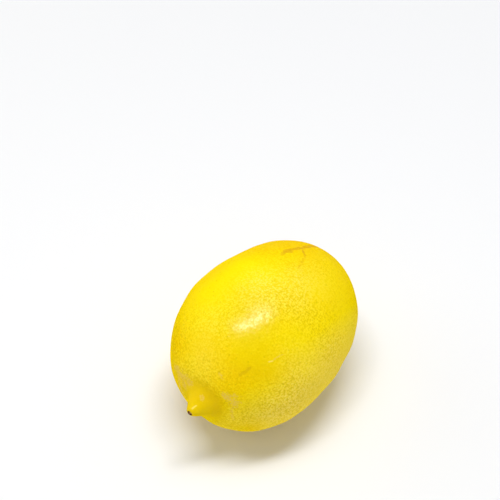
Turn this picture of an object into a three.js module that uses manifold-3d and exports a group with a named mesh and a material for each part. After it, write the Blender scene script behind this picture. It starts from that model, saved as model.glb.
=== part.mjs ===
// A whole lemon lying on its side.
//
// Millimetres, +Z up. The long axis runs along Y: the blossom end, with its
// nipple, points to -Y, and the stem end, with its dry star-shaped button,
// points to +Y. The origin is under the middle of the fruit, on the surface
// that it lies on. A small flat spot under the fruit is what it rests on.

import * as THREE from 'three';
import { mergeVertices } from 'three/addons/utils/BufferGeometryUtils.js';
import Module from 'manifold-3d';

// ---------------------------------------------------------------- the body
const RADIUS = 29.4;           // half the thickness at the widest place
const BLOSSOM_REACH = 37.8;    // from the widest place to the blossom pole
const STEM_REACH = 41.9;       // from the widest place to the stem pole
const BLOSSOM_POWER = 2.42;    // 2 is an ellipse, and more is a blunter end
const STEM_POWER = 2.1;

// Gentle swells and hollows, as every fruit has them. along is the place on
// the long axis, around is the angle about it from +X towards +Z in degrees,
// height is how far the rind stands out, and spread is how wide the swell is.
const SWELLS = [
  { along: -5.3, around: 151, height: 1.5, spread: 15 },    // the fuller shoulder
  { along: 27.5, around: 358, height: 0.35, spread: 12 },
  { along: -12.5, around: 333, height: -0.25, spread: 14 }, // a slight flat
  { along: 25.9, around: 126, height: 0.35, spread: 13 },
  { along: -32.9, around: 286, height: 0.35, spread: 10 },
  { along: 12.0, around: 215, height: 0.6, spread: 15 },
];

// -------------------------------------------------------------- the nipple
const TEAT_HEIGHT = 3.9;       // the broad teat, above the blossom pole
const TEAT_SPREAD = 4.9;
const TEAT_POWER = 2.7;        // above 2 the teat's foot is steeper than a bell's
const TIP_HEIGHT = 1.9;        // the narrow tip on the teat
const TIP_RADIUS = 2.45;
const TIP_POWER = 4.6;         // the higher, the squarer the tip's shoulder
const TIP_LEAN = { x: -0.4, z: 0.8 };    // how far the tip leans aside
const LEAN_POWER = 1.2;
const COLLAR_DEPTH = 0.4;      // the furrow around the foot of the teat
const COLLAR_RADIUS = 8.0;
const COLLAR_SPREAD = 2.2;
const COLLAR_DEEPEST = 35;     // the side on which the furrow is deepest, degrees
const COLLAR_BIAS = 0.4;
const SCAR_DEPTH = 0.4;        // the pit that the style left in the tip
const SCAR_RADIUS = 0.8;

// ------------------------------------------------------------ the stem end
const NECK_HEIGHT = 1.5;       // the low collar that the stem end draws out to
const NECK_SPREAD = 9.5;
const BASIN_DEPTH = 2.4;       // the dip that the button sits in
const BASIN_SPREAD = 4.4;
const RIDGES = 7;              // short ridges that run out from the button
const MORE_RIDGES = 11;        // a second set between them, so no two are alike
const MORE_SHARE = 0.6;
const MORE_TURN = 1;           // turns the second set against the first, radians
const RIDGE_HEIGHT = 0.2;
const RIDGE_RADIUS = 6.4;
const RIDGE_SPREAD = 2.8;

// -------------------------------------------------------------- the button
const SEPALS = 5;
const BUTTON_RADIUS = 3.9;     // to the middle between lobe and notch
const LOBE_REACH = 0.75;       // lobes reach further by this, notches less
const BUTTON_THICK = 1.25;     // at the middle, thinner towards the lobes
const LOBE_THICK = 0.55;
const STALK_RADIUS = 1.55;     // the stub where the stalk was cut
const STALK_HEIGHT = 1.3;
const STALK_POWER = 8;         // the higher, the sharper the stub's rim
const BUTTON_GAP = 0.3;        // between the button and the rind

// ------------------------------------------------------- mesh and flat spot
const FLAT_DEPTH = 0.24;       // how much the flat spot takes off the rind
const ROWS = 54;               // rings of vertices from pole to pole
const SEGMENTS = 72;           // vertices in a ring
const POLE_CROWDING = 0.8;     // draws the rings together at both poles
const BUTTON_SEGMENTS = 50;
const BUTTON_RINGS = 7;
const MERGE_DISTANCE = 1e-4;   // vertices closer than this are one
const CUTTER_SIDE = 120;       // the block that cuts the flat spot is larger than the fruit

const radians = THREE.MathUtils.degToRad;
const bell = (distance, spread) => Math.exp(-((distance / spread) ** 2));

/** Radius of the smooth body at a place on the long axis. */
function bodyRadius(along) {
  const blossomSide = along < 0;
  const reach = blossomSide ? BLOSSOM_REACH : STEM_REACH;
  const power = blossomSide ? BLOSSOM_POWER : STEM_POWER;
  const share = Math.min(Math.abs(along) / reach, 1);
  return RADIUS * Math.sqrt(1 - share ** power);
}

/** Height of the teat and its tip at a distance from the long axis. */
function teatHeight(r) {
  const teat = Math.exp(-((r / TEAT_SPREAD) ** TEAT_POWER));
  return TEAT_HEIGHT * teat + TIP_HEIGHT / (1 + (r / TIP_RADIUS) ** TIP_POWER);
}

/** Depth of the furrow around the teat. */
function collarDepth(r, around) {
  const side = 1 + COLLAR_BIAS * Math.cos(around - radians(COLLAR_DEEPEST));
  return COLLAR_DEPTH * side * bell(r - COLLAR_RADIUS, COLLAR_SPREAD);
}

/** How far the stem end stands out past the smooth body. */
function stemRelief(r, around) {
  const moreRidges = Math.cos(MORE_RIDGES * around + MORE_TURN);
  const ridges = Math.cos(RIDGES * around) + MORE_SHARE * moreRidges;
  return NECK_HEIGHT * bell(r, NECK_SPREAD) - BASIN_DEPTH * bell(r, BASIN_SPREAD)
    + RIDGE_HEIGHT * ridges * bell(r - RIDGE_RADIUS, RIDGE_SPREAD);
}

const swellCentres = SWELLS.map(({ along, around, height, spread }) => {
  const r = bodyRadius(along);
  const angle = radians(around);
  const centre = new THREE.Vector3(r * Math.cos(angle), along, r * Math.sin(angle));
  return { centre, height, spread };
});

/** Moves a point of the smooth body to the fruit's true surface. */
function trueSurface(point) {
  const r = Math.hypot(point.x, point.z);
  const around = Math.atan2(point.z, point.x);
  const out = point.clone().normalize();
  const moved = point.clone();
  for (const { centre, height, spread } of swellCentres) {
    moved.addScaledVector(out, height * bell(point.distanceTo(centre), spread));
  }
  if (point.y > 0) {
    moved.y += stemRelief(r, around);
    return moved;
  }
  const teat = teatHeight(r);
  const lean = (teat / (TEAT_HEIGHT + TIP_HEIGHT)) ** LEAN_POWER;
  moved.x += TIP_LEAN.x * lean;
  moved.z += TIP_LEAN.z * lean;
  moved.y -= teat - collarDepth(r, around) - SCAR_DEPTH * bell(r, SCAR_RADIUS);
  return moved;
}

/** A closed surface of revolution about Y, with shared vertices merged. */
function revolved(profile, segments) {
  const lathe = new THREE.LatheGeometry(profile, segments);
  lathe.deleteAttribute('normal');
  lathe.deleteAttribute('uv');
  const merged = mergeVertices(lathe, MERGE_DISTANCE);
  const old = merged.getIndex().array;
  const kept = [];
  for (let i = 0; i < old.length; i += 3) {
    const [a, b, c] = [old[i], old[i + 1], old[i + 2]];
    if (a !== b && b !== c && c !== a) {
      kept.push(a, b, c);
    }
  }
  merged.setIndex(kept);
  return merged;
}

/** Moves every vertex of a geometry by a function of its place. */
function reshaped(geometry, move) {
  const position = geometry.getAttribute('position');
  const point = new THREE.Vector3();
  for (let i = 0; i < position.count; i += 1) {
    point.fromBufferAttribute(position, i);
    position.setXYZ(i, ...move(point).toArray());
  }
  return geometry;
}

function fruitGeometry() {
  const profile = [];
  for (let row = 0; row <= ROWS; row += 1) {
    const share = row / ROWS;
    const eased = share - (POLE_CROWDING * Math.sin(2 * Math.PI * share)) / (2 * Math.PI);
    const height = -Math.cos(Math.PI * eased);
    const along = height < 0 ? height * BLOSSOM_REACH : height * STEM_REACH;
    const onAxis = row === 0 || row === ROWS;
    profile.push(new THREE.Vector2(onAxis ? 0 : bodyRadius(along), along));
  }
  return reshaped(revolved(profile, SEGMENTS), trueSurface);
}

/** Distance from the axis to the button's edge. */
function buttonOutline(around) {
  return BUTTON_RADIUS + LOBE_REACH * Math.cos(SEPALS * around);
}

/** Height of the button's underside, which follows the basin of the stem end. */
function buttonUnderside(r, around) {
  const body = STEM_REACH * (1 - (r / RADIUS) ** 2) ** (1 / STEM_POWER);
  return body + stemRelief(r, around) + BUTTON_GAP;
}

/** Thickness of the button. share is 0 on the axis and 1 at the edge. */
function buttonThickness(share, r) {
  const blade = LOBE_THICK + (BUTTON_THICK - LOBE_THICK) * (1 - share ** 2);
  return blade + STALK_HEIGHT / (1 + (r / STALK_RADIUS) ** STALK_POWER);
}

/** The button: a thin five-lobed star with a stub, bent from a plain disc of two skins. */
function buttonGeometry() {
  const profile = [new THREE.Vector2(0, 0)];
  for (let ring = 1; ring <= BUTTON_RINGS; ring += 1) {
    profile.push(new THREE.Vector2(ring / BUTTON_RINGS, 0));
  }
  for (let ring = BUTTON_RINGS; ring >= 1; ring -= 1) {
    profile.push(new THREE.Vector2(ring / BUTTON_RINGS, 1));
  }
  profile.push(new THREE.Vector2(0, 1));
  return reshaped(revolved(profile, BUTTON_SEGMENTS), (flat) => {
    const share = Math.hypot(flat.x, flat.z);
    const around = Math.atan2(flat.z, flat.x);
    const r = share * buttonOutline(around);
    const height = buttonUnderside(r, around) + flat.y * buttonThickness(share, r);
    return new THREE.Vector3(r * Math.cos(around), height, r * Math.sin(around));
  });
}

// ------------------------------------------------------ cutting the flat spot
const wasm = await Module();
wasm.setup();

function toSolid(geometry) {
  return new wasm.Manifold(new wasm.Mesh({
    numProp: 3,
    vertProperties: new Float32Array(geometry.getAttribute('position').array),
    triVerts: new Uint32Array(geometry.getIndex().array),
  }));
}

function toGeometry(solid) {
  const { vertProperties, triVerts } = solid.getMesh();
  const geometry = new THREE.BufferGeometry();
  geometry.setAttribute('position', new THREE.BufferAttribute(vertProperties, 3));
  geometry.setIndex(new THREE.BufferAttribute(triVerts, 1));
  geometry.computeVertexNormals();
  return geometry;
}

/** Cuts everything below the given height off a geometry. */
function cutBelow(geometry, height) {
  const block = new THREE.BoxGeometry(CUTTER_SIDE, CUTTER_SIDE, CUTTER_SIDE);
  block.deleteAttribute('normal');
  block.deleteAttribute('uv');
  block.translate(0, 0, height - CUTTER_SIDE / 2);
  return toGeometry(toSolid(geometry).subtract(toSolid(mergeVertices(block))));
}

/** A named mesh with a finish of its own. */
function piece(name, geometry, finish) {
  const mesh = new THREE.Mesh(geometry, new THREE.MeshStandardMaterial(finish));
  mesh.name = name;
  return mesh;
}

const whole = fruitGeometry();
whole.computeBoundingBox();
const floorHeight = whole.boundingBox.min.z + FLAT_DEPTH;
const rind = { color: 0xf2d21a, roughness: 0.42, metalness: 0 };
const dryStem = { color: 0x6f6236, roughness: 0.85, metalness: 0 };
const fruit = piece('fruit', cutBelow(whole, floorHeight), rind);
const button = piece('stem_button', toGeometry(toSolid(buttonGeometry())), dryStem);

// The group stands the fruit on the origin, under the middle of its box.
const lemon = new THREE.Group();
lemon.add(fruit, button);
const box = new THREE.Box3().setFromObject(lemon);
const middle = box.getCenter(new THREE.Vector3());
lemon.position.set(-middle.x, -middle.y, -box.min.z);

export default lemon;
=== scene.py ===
# %% [markdown]
# A whole lemon that lies on its side.
#
# The lemon has three pieces. The peel is one closed skin, with the nipple at the blossom
# end and thousands of small pits over it. A dry scar, two millimetres wide, sits on the
# nipple's tip, where the flower's style broke off. A woody star-shaped button sits at the
# other end, where the fruit hung on its stalk.
#
# First comes the frame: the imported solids, which say where everything is and how large.

# %% Open the frame
import math

import bpy
import numpy as np
from mathutils import Matrix, Vector
from mathutils.bvhtree import BVHTree
from mathutils.kdtree import KDTree


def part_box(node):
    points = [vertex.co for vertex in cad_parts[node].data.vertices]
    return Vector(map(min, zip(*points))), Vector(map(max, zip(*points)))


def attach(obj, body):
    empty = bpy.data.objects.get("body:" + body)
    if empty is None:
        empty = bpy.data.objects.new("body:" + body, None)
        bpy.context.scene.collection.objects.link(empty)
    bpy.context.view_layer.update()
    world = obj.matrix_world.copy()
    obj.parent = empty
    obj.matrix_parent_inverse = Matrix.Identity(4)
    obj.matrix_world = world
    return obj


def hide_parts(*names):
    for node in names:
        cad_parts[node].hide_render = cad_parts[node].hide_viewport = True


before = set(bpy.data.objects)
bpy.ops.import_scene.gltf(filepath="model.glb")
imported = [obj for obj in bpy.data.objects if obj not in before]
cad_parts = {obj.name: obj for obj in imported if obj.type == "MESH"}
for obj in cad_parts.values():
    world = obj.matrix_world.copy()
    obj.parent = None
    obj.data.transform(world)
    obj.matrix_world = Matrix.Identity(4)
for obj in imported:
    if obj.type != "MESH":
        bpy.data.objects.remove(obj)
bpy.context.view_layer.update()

MM = 0.001
fruit_low, fruit_high = (np.array(corner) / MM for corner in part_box("fruit"))
print("solid fruit, mm:", np.round(fruit_high - fruit_low, 2))

# %% [markdown]
# The form of a lemon is close to an egg. Turned about its long axis, its outline is a
# superellipse on each side of the widest place: a power of 2 gives an ellipse, and a
# higher power gives a blunter end. The blossom end is the blunter of the two.
#
# A sphere pulled by hand would come near it, but a formula keeps the skin exactly on the
# solid under it, and any number of points can be put on it. Everything here is in
# millimetres, about the middle of the body, with the long axis along Y.

# %% The body
RADIUS = 29.4
BLOSSOM_REACH = 37.8
STEM_REACH = 41.9
BLOSSOM_POWER = 2.42
STEM_POWER = 2.1


def bell(distance, spread):
    """A smooth hump, 1 at its middle."""
    return np.exp(-((distance / spread) ** 2))


def band(r, radius, spread):
    """1 on a ring of this radius about the long axis, and less on both sides of it."""
    return bell(r - radius, spread)


def body_radius(along):
    """Radius of the smooth body at places on the long axis."""
    reach = np.where(along < 0, BLOSSOM_REACH, STEM_REACH)
    power = np.where(along < 0, BLOSSOM_POWER, STEM_POWER)
    share = np.minimum(np.abs(along) / reach, 1.0)
    return RADIUS * np.sqrt(1.0 - share**power)


def body_level(r, reach, power):
    """How far out along the axis the smooth body has this radius."""
    return reach * (1 - (r / RADIUS) ** 2) ** (1 / power)


def ring_points(r, along, around):
    """Points around the long axis. around is the angle about Y, from +X towards +Z."""
    return np.stack([r * np.cos(around), along + 0 * r, r * np.sin(around)], axis=-1)


def on_body(along, around):
    """Points of the smooth body."""
    return ring_points(body_radius(along), along, around)


print("body, mm:", 2 * RADIUS, "across and", BLOSSOM_REACH + STEM_REACH, "long")

# %% [markdown]
# The nipple is a broad teat with a narrow tip on it, and a shallow furrow runs around its
# foot. The furrow is deeper on one side. The tip leans a little to one side, as it does on
# most lemons, and a tiny pit marks its end. The nipple could be a form of its own that is
# joined on, but a height that is added to the body leaves no seam.

# %% The nipple
TEAT_HEIGHT = 3.9
TEAT_SPREAD = 4.9
TEAT_POWER = 2.7
TIP_HEIGHT = 1.9
TIP_RADIUS = 2.45
TIP_POWER = 4.6
TIP_LEAN = np.array([-0.4, 0.0, 0.8])
LEAN_POWER = 1.2
COLLAR_DEPTH = 0.4
COLLAR_BAND = (8.0, 2.2)  # radius and spread, as in every band
COLLAR_DEEPEST = math.radians(35)
COLLAR_BIAS = 0.4
SCAR_DEPTH = 0.4
SCAR_RADIUS = 0.8


def teat_height(r):
    """Height of the teat and its tip above the body, at distances from the long axis."""
    teat = TEAT_HEIGHT * np.exp(-((r / TEAT_SPREAD) ** TEAT_POWER))
    return teat + TIP_HEIGHT / (1 + (r / TIP_RADIUS) ** TIP_POWER)


def collar_depth(r, around):
    """Depth of the furrow around the teat."""
    side = 1 + COLLAR_BIAS * np.cos(around - COLLAR_DEEPEST)
    return COLLAR_DEPTH * side * band(r, *COLLAR_BAND)


print("nipple, mm high:", round(float(teat_height(0.0)), 2))

# %% [markdown]
# The stem end is drawn out to a low neck, with a dip in it that the button sits in. Short
# ridges run out from the button. Two sets of waves with 7 and 11 crests are added up, so
# that no two ridges are alike.

# %% The stem end
NECK_HEIGHT = 1.5
NECK_SPREAD = 9.5
BASIN_DEPTH = 2.4
BASIN_SPREAD = 4.4
RIDGES = 7
MORE_RIDGES = 11
MORE_SHARE = 0.6
MORE_TURN = 1.0
RIDGE_HEIGHT = 0.2
RIDGE_BAND = (6.4, 2.8)


def stem_relief(r, around):
    """How far the stem end stands out past the smooth body."""
    ridges = np.cos(RIDGES * around) + MORE_SHARE * np.cos(MORE_RIDGES * around + MORE_TURN)
    neck = NECK_HEIGHT * bell(r, NECK_SPREAD) - BASIN_DEPTH * bell(r, BASIN_SPREAD)
    return neck + RIDGE_HEIGHT * ridges * band(r, *RIDGE_BAND)


print("dip under the button, mm:", round(float(-stem_relief(0.0, 0.0)), 2))

# %% [markdown]
# No fruit is perfectly round. Six soft swells and hollows, each with a spread of 10 to
# 15 mm, turn the round body into this one lemon, with its one fuller shoulder. They could be
# sculpted, but here each is one row of numbers that can be moved or made flatter.

# %% Swells, and the whole form
SWELLS = [  # place on the long axis, angle around it in degrees, height, spread
    (-5.3, 151, 1.5, 15),
    (27.5, 358, 0.35, 12),
    (-12.5, 333, -0.25, 14),
    (25.9, 126, 0.35, 13),
    (-32.9, 286, 0.35, 10),
    (12.0, 215, 0.6, 15),
]


def true_surface(points):
    """Moves points of the smooth body to the lemon's true surface."""
    r = np.hypot(points[:, 0], points[:, 2])
    around = np.arctan2(points[:, 2], points[:, 0])
    outward = points / np.linalg.norm(points, axis=1, keepdims=True)
    moved = points.copy()
    for along, angle, height, spread in SWELLS:
        centre = on_body(np.float64(along), math.radians(angle))
        hump = height * bell(np.linalg.norm(points - centre, axis=1), spread)
        moved += outward * hump[:, None]
    at_stem = points[:, 1] > 0
    teat = teat_height(r)
    lean = np.where(at_stem, 0, (teat / (TEAT_HEIGHT + TIP_HEIGHT)) ** LEAN_POWER)
    moved += lean[:, None] * TIP_LEAN
    blossom = collar_depth(r, around) + SCAR_DEPTH * bell(r, SCAR_RADIUS) - teat
    moved[:, 1] += np.where(at_stem, stem_relief(r, around), blossom)
    return moved


print("swells and hollows:", len(SWELLS))

# %% [markdown]
# The peel needs an even mesh, fine enough for its pits. A globe with poles would crowd its
# points at both ends, just where the nipple and the button are. Here a cube is blown up to
# a ball: six square grids, whose squares stay nearly the same size everywhere. Whole
# numbers mark the grid points, so the points that two faces share are found exactly.
#
# The six faces also give a tidy map: each is one square of a sheet of three by two.

# %% A ball of six square grids
GRID = 126
SHEET_COLUMNS = 3
SHEET_ROWS = 2
SHEET_MARGIN = 0.01
CUBE_FACES = [  # outward, and then the two directions along the face
    ((0, -1, 0), (1, 0, 0), (0, 0, 1)),
    ((0, 1, 0), (-1, 0, 0), (0, 0, 1)),
    ((1, 0, 0), (0, 1, 0), (0, 0, 1)),
    ((-1, 0, 0), (0, -1, 0), (0, 0, 1)),
    ((0, 0, 1), (1, 0, 0), (0, 1, 0)),
    ((0, 0, -1), (1, 0, 0), (0, -1, 0)),
]


def quads_of(index):
    """The four corners of every square of a grid of numbered points."""
    corners = [index[:-1, :-1], index[1:, :-1], index[1:, 1:], index[:-1, 1:]]
    return np.stack(corners, axis=-1).reshape(-1, 4)


def ball():
    """Directions of the grid points, the squares between them, and each corner's map place."""
    i, j = np.meshgrid(np.arange(GRID + 1), np.arange(GRID + 1), indexing="ij")
    marks, sheet = [], []
    for number, (outward, across, upward) in enumerate(np.array(CUBE_FACES)):
        steps = (2 * i - GRID)[..., None] * across + (2 * j - GRID)[..., None] * upward
        marks.append(GRID * outward + steps)
        column, row = number % SHEET_COLUMNS, number // SHEET_COLUMNS
        inside = SHEET_MARGIN + (1 - 2 * SHEET_MARGIN) * np.stack([i, j], axis=-1) / GRID
        sheet.append((inside + (column, row)) / (SHEET_COLUMNS, SHEET_ROWS))
    places, index = np.unique(np.reshape(marks, (-1, 3)), axis=0, return_inverse=True)
    index = index.reshape(len(CUBE_FACES), GRID + 1, GRID + 1)
    flat = np.tan(places * math.pi / (4 * GRID))
    directions = flat / np.linalg.norm(flat, axis=1, keepdims=True)
    numbers = np.arange(len(CUBE_FACES) * (GRID + 1) ** 2).reshape(index.shape)
    quads = np.concatenate([quads_of(face) for face in index])
    corners = np.concatenate([quads_of(face) for face in numbers])
    return directions, quads, np.reshape(sheet, (-1, 2))[corners.ravel()]


directions, peel_quads, peel_map = ball()
print("peel squares:", len(peel_quads), "points:", len(directions))

# %% [markdown]
# The nipple's tip and the ridges around the button are the finest forms, so the grid is
# drawn in towards both poles. The angle from the pole is shortened most close to it, and
# more at the blossom end, whose tip is the smallest form of all.

# %% Draw the grid in at both ends
BLOSSOM_POLE = np.array([0.0, -1.0, 0.0])
BLOSSOM_DRAW = 0.55
BLOSSOM_SPREAD = 0.36
STEM_POLE = np.array([0.0, 1.0, 0.0])
STEM_DRAW = 0.35
STEM_SPREAD = 0.40
TINY = 1e-9


def drawn_in(directions, pole, share, spread):
    """Directions moved towards a pole, by this share of their angle close to it."""
    height = directions @ pole
    angle = np.arccos(np.clip(height, -1, 1))
    closer = angle * (1 - share * bell(angle, spread))
    side = directions - height[:, None] * pole
    side /= np.maximum(np.linalg.norm(side, axis=1, keepdims=True), TINY)
    return np.cos(closer)[:, None] * pole + np.sin(closer)[:, None] * side


directions = drawn_in(directions, BLOSSOM_POLE, BLOSSOM_DRAW, BLOSSOM_SPREAD)
directions = drawn_in(directions, STEM_POLE, STEM_DRAW, STEM_SPREAD)
reach = np.where(directions[:, 1] < 0, BLOSSOM_REACH, STEM_REACH)
smooth_body = on_body(directions[:, 1] * reach, np.arctan2(directions[:, 2], directions[:, 0]))
smooth_peel = true_surface(smooth_body)

# %% [markdown]
# The formulas are about the middle of the body, and the frame stands on the ground. The
# shift between the two follows from the solid's box: its middle in X and Y, and its top,
# because the solid has a flat spot below. The distance of the skin to the solid then
# shows that both have the same form. A sample of the points is enough for that.

# %% Set the form on the frame
SAMPLE_STEP = 97

peel_low, peel_high = smooth_peel.min(axis=0), smooth_peel.max(axis=0)
body_middle = (fruit_low + fruit_high - peel_low - peel_high) / 2
body_middle[2] = fruit_high[2] - peel_high[2]
print("middle of the body in the frame, mm:", np.round(body_middle, 3))

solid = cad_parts["fruit"]
solid_tree = BVHTree.FromObject(solid, bpy.context.evaluated_depsgraph_get())
sampled = [Vector(p * MM) for p in (smooth_peel + body_middle)[::SAMPLE_STEP] if p[2] > 0]
gaps = [solid_tree.find_nearest(place)[3] / MM for place in sampled]
print("skin to solid, mm: at most", round(max(gaps), 3))

# %% [markdown]
# Relief comes in three sizes. Slow waves, about 5 and 13 mm long, make the skin slightly
# uneven and bend the reflection of a lamp. Then come the oil glands: round sacs in the
# peel that show as shallow pits about 2 mm apart. The finer pebbles and pores are left to
# the finish, because a mesh that holds them would be too heavy.
#
# A swing is made of many plane waves in random directions, which needs no texture and gives
# the same result each time. The nipple is barer than the body, so it gets lower waves.

# %% Slow waves
WAVES = 40
WAVE_STRETCH = (0.75, 1.4)
SLOW_WAVES = [(0.009, 5.0, 3), (0.08, 13.0, 8)]  # height, length and seed, as in all waves
BARE_RADIUS = 8.0
BARE_EDGE = 0.75
BARE_CALM = 0.6


def waves(points, length, seed):
    """A random smooth swing about 0, with a spread of 1 and crests about this far apart."""
    draw = np.random.default_rng(seed)
    way = draw.normal(size=(WAVES, 3))
    way /= np.linalg.norm(way, axis=1, keepdims=True)
    pace = 2 * math.pi / (length * draw.uniform(*WAVE_STRETCH, WAVES))
    turn = draw.uniform(0, 2 * math.pi, WAVES)
    swings = np.sin(points @ (way * pace[:, None]).T + turn)
    return swings.sum(axis=1) * math.sqrt(2 / WAVES)


def wave_sum(points, rows, share=1):
    """Waves given as (height, length, seed), added up and lowered to a share of that."""
    return sum(height * waves(points, length, seed) * share for height, length, seed in rows)


smooth_r = np.hypot(smooth_body[:, 0], smooth_body[:, 2])
at_blossom = smooth_body[:, 1] < 0
bare = np.where(at_blossom, 1 / (1 + np.exp((smooth_r - BARE_RADIUS) / BARE_EDGE)), 0)
relief = wave_sum(smooth_peel, SLOW_WAVES, share=1 - BARE_CALM * bare)
print("slow waves, mm: up to", round(np.abs(relief).max(), 2))

# %% [markdown]
# The glands are spread as seeds are in a sunflower head: each next one is turned by the
# golden angle and takes an equal share of the skin. That alone would show spirals, so every
# place is then shaken a little. Width and depth vary from pit to pit: a power above 1 makes
# most pits faint and a few deep. Each pit presses the points around its middle inwards, and
# a search tree finds those points quickly.

# %% Oil glands
GLAND_PITCH = 1.9
GLAND_SHAKE = 0.34
GLAND_SPREAD = 0.45
SPREAD_RANGE = (0.7, 1.35)
GLAND_DEPTH = 0.065
DEPTH_RANGE = (0.0, 1.1)
DEPTH_POWER = 2.2
PIT_REACH = 2.2
PROFILE_STEPS = 4000
HONEYCOMB = math.sqrt(3) / 2  # area of a honeycomb cell whose pitch is 1
GOLDEN_ANGLE = math.pi * (3 - math.sqrt(5))


def gland_places(draw):
    """Places on the peel, each with an equal share of its area, then shaken."""
    along = np.linspace(-BLOSSOM_REACH, STEM_REACH, PROFILE_STEPS + 1)
    r = body_radius(along)
    strip = np.hypot(np.diff(along), np.diff(r)) * math.pi * (r[1:] + r[:-1])
    area = np.concatenate([[0], np.cumsum(strip)])
    count = int(area[-1] / (GLAND_PITCH**2 * HONEYCOMB))
    level = np.interp((np.arange(count) + 0.5) / count * area[-1], area, along)
    turned = np.arange(count) * GOLDEN_ANGLE
    level = level + draw.normal(0, GLAND_SHAKE * GLAND_PITCH, count)
    level = np.clip(level, -BLOSSOM_REACH + TINY, STEM_REACH - TINY)
    sideways = draw.normal(0, GLAND_SHAKE * GLAND_PITCH, count)
    turned = turned + sideways / np.maximum(body_radius(level), GLAND_PITCH)
    return true_surface(on_body(level, turned))


def tree_of(points):
    """A search tree over points."""
    tree = KDTree(len(points))
    for number, place in enumerate(points):
        tree.insert(place, number)
    tree.balance()
    return tree


draw = np.random.default_rng(seed=21)
glands = gland_places(draw)
gland_spreads = GLAND_SPREAD * draw.uniform(*SPREAD_RANGE, len(glands))
gland_depths = draw.uniform(*DEPTH_RANGE, len(glands)) ** DEPTH_POWER
peel_tree = tree_of(smooth_peel)
gland = np.zeros(len(smooth_peel))
for place, spread, depth in zip(glands, gland_spreads, gland_depths):
    for _, number, distance in peel_tree.find_range(place, PIT_REACH * spread):
        gland[number] += depth * math.exp(-((distance / spread) ** 2))
gland *= 1 - bare
relief -= GLAND_DEPTH * gland
print("glands:", len(glands), "deepest pit, mm:", round(GLAND_DEPTH * gland.max(), 2))

# %% [markdown]
# The skin isn't the same all over. Each way in which it differs is a number at every point
# of the mesh, 0 where there is none of it, and the finish reads these numbers. They could be
# painted by hand. Worked out from a slow drift towards one side, a few soft round patches
# and slow waves, they stay easy to change: a patch is named by its place on the fruit.

# %% Sides and patches
def towards(direction):
    """How far points lie towards one side of the fruit, from about -1 to 1."""
    return smooth_peel @ np.array(direction) / RADIUS


def ramp(values, start, length):
    """0 up to start, and then an even rise to 1 over this length."""
    return np.clip((values - start) / length, 0, 1)


def patches(rows):
    """A sum of soft round patches, each given as (along, around, spread, strength)."""
    total = np.zeros(len(smooth_body))
    for along, around, spread, strength in rows:
        centre = on_body(np.float64(along), math.radians(around))
        total += strength * bell(np.linalg.norm(smooth_body - centre, axis=1), spread)
    return total


def average(values):
    """The mean of a number over the peel's points, rounded to be printed."""
    return round(float(values.mean()), 2)


# %% [markdown]
# Some of the skin is smooth and full, and elsewhere it is coarse, with pale pebbles on a
# deeper ground, painted partly as sheen and shade. Smoothness comes in patches, most of them
# on the upper side. The skin is coarsest low down towards the blossom end, but the nipple
# itself is smooth.

# %% Smooth and coarse skin
COARSE_LEVEL = 0.62
COARSE_SIDE = (0.55, -0.55, -0.63)
COARSE_DRIFT = 0.16
COARSE_WAVES = [(0.12, 17, 4)]
COARSE_LEAST = 0.06
SMOOTH_MOST = 0.9
SMOOTH_PATCHES = [
    (-2, 124, 15, 0.75),
    (22, 95, 9, 0.45),
    (-27, 63, 10, 0.75),
    (-22, 44, 6, 0.5),
    (9, 53, 5, 0.3),
    (15, 57, 5, 0.3),
    (26, 49, 9, 0.5),
    (10, 3, 8, 0.6),
    (-6, -4, 8, 0.5),
]

coarse = COARSE_LEVEL + COARSE_DRIFT * towards(COARSE_SIDE)
coarse = coarse + wave_sum(smooth_peel, COARSE_WAVES)
coarse = coarse * (1 - np.minimum(patches(SMOOTH_PATCHES), SMOOTH_MOST))
coarse = np.clip(coarse, COARSE_LEAST, 1) * (1 - bare)
print("coarse skin, on average:", average(coarse))

# %% [markdown]
# One flank is painted pale, a painted reflection of the pale floor that it faces, except in
# a few patches that are left without it. A painted sheen of the lamps lies on top, which
# may be stronger than 1, and the painted reflection carries a little of it too.

# %% Painted reflection and painted sheen
REFLECTION_SIDE = (0.88, -0.15, -0.45)
REFLECTION_FROM = 0.40
REFLECTION_OVER = 0.45
REFLECTION_PATCHES = [(-36, 152, 6, 0.3), (-33, 98, 7, 0.3)]
NO_REFLECTION_PATCHES = [(-25, 50, 9, 1.0), (-33, 30, 7, 0.4), (-31, -33, 7, 0.9)]
SHEEN_PATCHES = [
    (14, 60, 6, 0.4),
    (-5, 87, 8, 1.4),
    (2, 66, 7, 0.9),
    (9, 75, 6, 0.8),
    (1, 92, 6, 0.5),
    (-22, 102, 8, 0.5),
    (-14, 40, 6, 0.4),
    (20, 71, 6, 0.25),
    (12, 69, 5, 0.2),
]
SHEEN_IN_REFLECTION = 0.25
SHEEN_MOST = 1.5

# Painted reflection: the flank that faces the floor is painted pale.
painted_reflection = ramp(towards(REFLECTION_SIDE), REFLECTION_FROM, REFLECTION_OVER) * (1 - bare)
painted_reflection += patches(REFLECTION_PATCHES)
painted_reflection *= 1 - np.minimum(patches(NO_REFLECTION_PATCHES), 1)
# Painted sheen: pale patches around and above the lamp's bright reflection on top.
painted_sheen = np.clip(patches(SHEEN_PATCHES) + SHEEN_IN_REFLECTION * painted_reflection, 0, SHEEN_MOST)
print("chalky and milky skin, on average:", average(painted_reflection), average(painted_sheen))
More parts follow.
